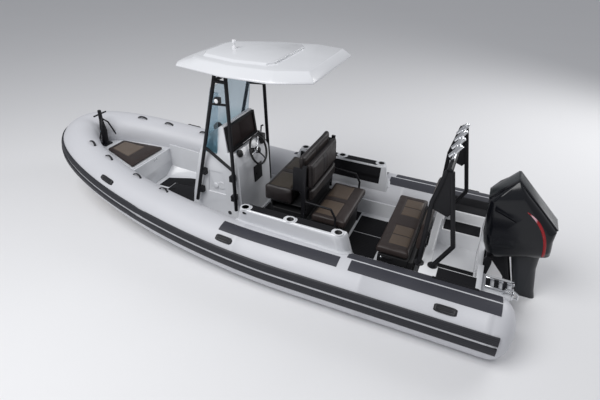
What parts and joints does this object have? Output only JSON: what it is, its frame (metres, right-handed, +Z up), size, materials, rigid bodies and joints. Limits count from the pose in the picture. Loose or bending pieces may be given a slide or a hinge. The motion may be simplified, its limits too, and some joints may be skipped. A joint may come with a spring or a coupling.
{
  "type": "rigid inflatable boat",
  "caption": "Rigid inflatable boat with centre console, moulded roof, double helm seat, aft bench and arch, fore locker, side pods and a tilting, steering outboard motor.",
  "frame": {"origin": "on the centreline at the transom's aft face, at the still waterline", "axes": "+X forward to the bow, +Y to port, +Z up"},
  "size_m": [6.9004, 2.5944, 3.0979],
  "materials": {
    "gelcoat": "smooth moulded gelcoat",
    "tube_fabric": "coated tube fabric, satin",
    "strake_rubber": "ribbed rubber",
    "stripe_grey": "textured wear strip",
    "grip_foam": "brushed deck foam",
    "black_paint": "powder coat, satin",
    "black_plastic": "moulded",
    "screen": "dark instrument panel",
    "tinted_acrylic": "blue tinted sheet",
    "polished_steel": "polished",
    "brown_leather": "upholstery with lighter panels",
    "black_leather": "upholstery",
    "engine_paint": "gloss paint with a red accent",
    "grey_metal": "painted alloy",
    "prop_steel": "ground",
    "lamp_white": "clear cap on white base",
    "handle_rubber": "moulded"
  },
  "bodies": {
    "boat": {"hull_bottom": "gelcoat", "transom": "gelcoat", "splashwell": "gelcoat", "deck_liner": "gelcoat", "bow_locker": "gelcoat", "tube_port": "tube_fabric", "tube_starboard": "tube_fabric", "tube_bow": "tube_fabric", "rub_strake": "strake_rubber", "tube_stripes": "stripe_grey", "pod_port": "gelcoat", "pod_starboard": "gelcoat", "grip_pads": "grip_foam", "console": "gelcoat", "instrument_panel": "screen", "windshield": "tinted_acrylic", "helm_controls": "black_plastic", "roof_panel": "gelcoat", "roof_frame": "black_paint", "lights": "lamp_white", "seat_base": "black_plastic", "seat_frame": "black_paint", "helm_cushion": "black_leather", "helm_backrest": "black_leather", "aft_seat_cushion": "brown_leather", "aft_backrest": "brown_leather", "bench_base": "black_plastic", "bench_backrest": "brown_leather", "arch_frame": "black_paint", "arch_rack": "polished_steel", "samson_post": "black_paint", "tube_handles": "handle_rubber", "ladder_mount": "polished_steel", "stern_bracket": "black_paint"},
    "console_door": {"console_hatch": "black_plastic"},
    "helm": {"helm_wheel": "black_plastic"},
    "fore_lid": {"bow_lid": "gelcoat", "bow_cushion": "brown_leather"},
    "bench_lid": {"bench_cushion": "brown_leather"},
    "fore_hatch": {"deck_hatch": "grip_foam"},
    "boarding_ladder": {"ladder": "polished_steel"},
    "swivel": {"swivel_bracket": "black_paint"},
    "motor": {"engine_leg": "grey_metal", "engine_cowl": "engine_paint"},
    "screw": {"propeller": "prop_steel"}
  },
  "joints": [
    {"name": "outboard_tilt", "type": "hinge", "parent": "boat", "child": "swivel", "pos_m": [-0.045, 0, 0.435], "axis": [0, 1, 0], "range_deg": [-20, 40]},
    {"name": "outboard_steer", "type": "hinge", "parent": "swivel", "child": "motor", "pos_m": [-0.19323, 0, 0.48032], "axis": [0.2924, 0, 0.9563], "range_deg": [-30, 30]},
    {"name": "propeller_spin", "type": "hinge", "parent": "motor", "child": "screw", "pos_m": [-0.86203, 0, -0.47593], "axis": [0.9563, 0, -0.2924], "continuous": true},
    {"name": "helm_wheel_turn", "type": "hinge", "parent": "boat", "child": "helm", "pos_m": [2.86, 0, 1.062], "axis": [0.9333, 0, -0.359], "range_deg": [-750, 750]},
    {"name": "console_door_swing", "type": "hinge", "parent": "boat", "child": "console_door", "pos_m": [2.8998, -0.155, 0.6004], "axis": [0.0499, 0, 0.9988], "range_deg": [0, 110]},
    {"name": "fore_lid_lift", "type": "hinge", "parent": "boat", "child": "fore_lid", "pos_m": [5.2673, 0, 0.5794], "axis": [0, 1, 0], "range_deg": [0, 75]},
    {"name": "bench_lid_lift", "type": "hinge", "parent": "boat", "child": "bench_lid", "pos_m": [0.745, 0, 0.4705], "axis": [0, -1, 0], "range_deg": [0, 45]},
    {"name": "fore_hatch_lift", "type": "hinge", "parent": "boat", "child": "fore_hatch", "pos_m": [3.84, 0, 0.108], "axis": [0, -1, 0], "range_deg": [0, 95]},
    {"name": "ladder_fold", "type": "hinge", "parent": "boat", "child": "boarding_ladder", "pos_m": [-0.3, 0.555, 0.452], "axis": [0, -1, 0], "range_deg": [0, 250]}
  ],
  "couplings": [
    {"joint": "helm_wheel_turn", "follows": "outboard_steer", "ratio": 25}
  ]
}
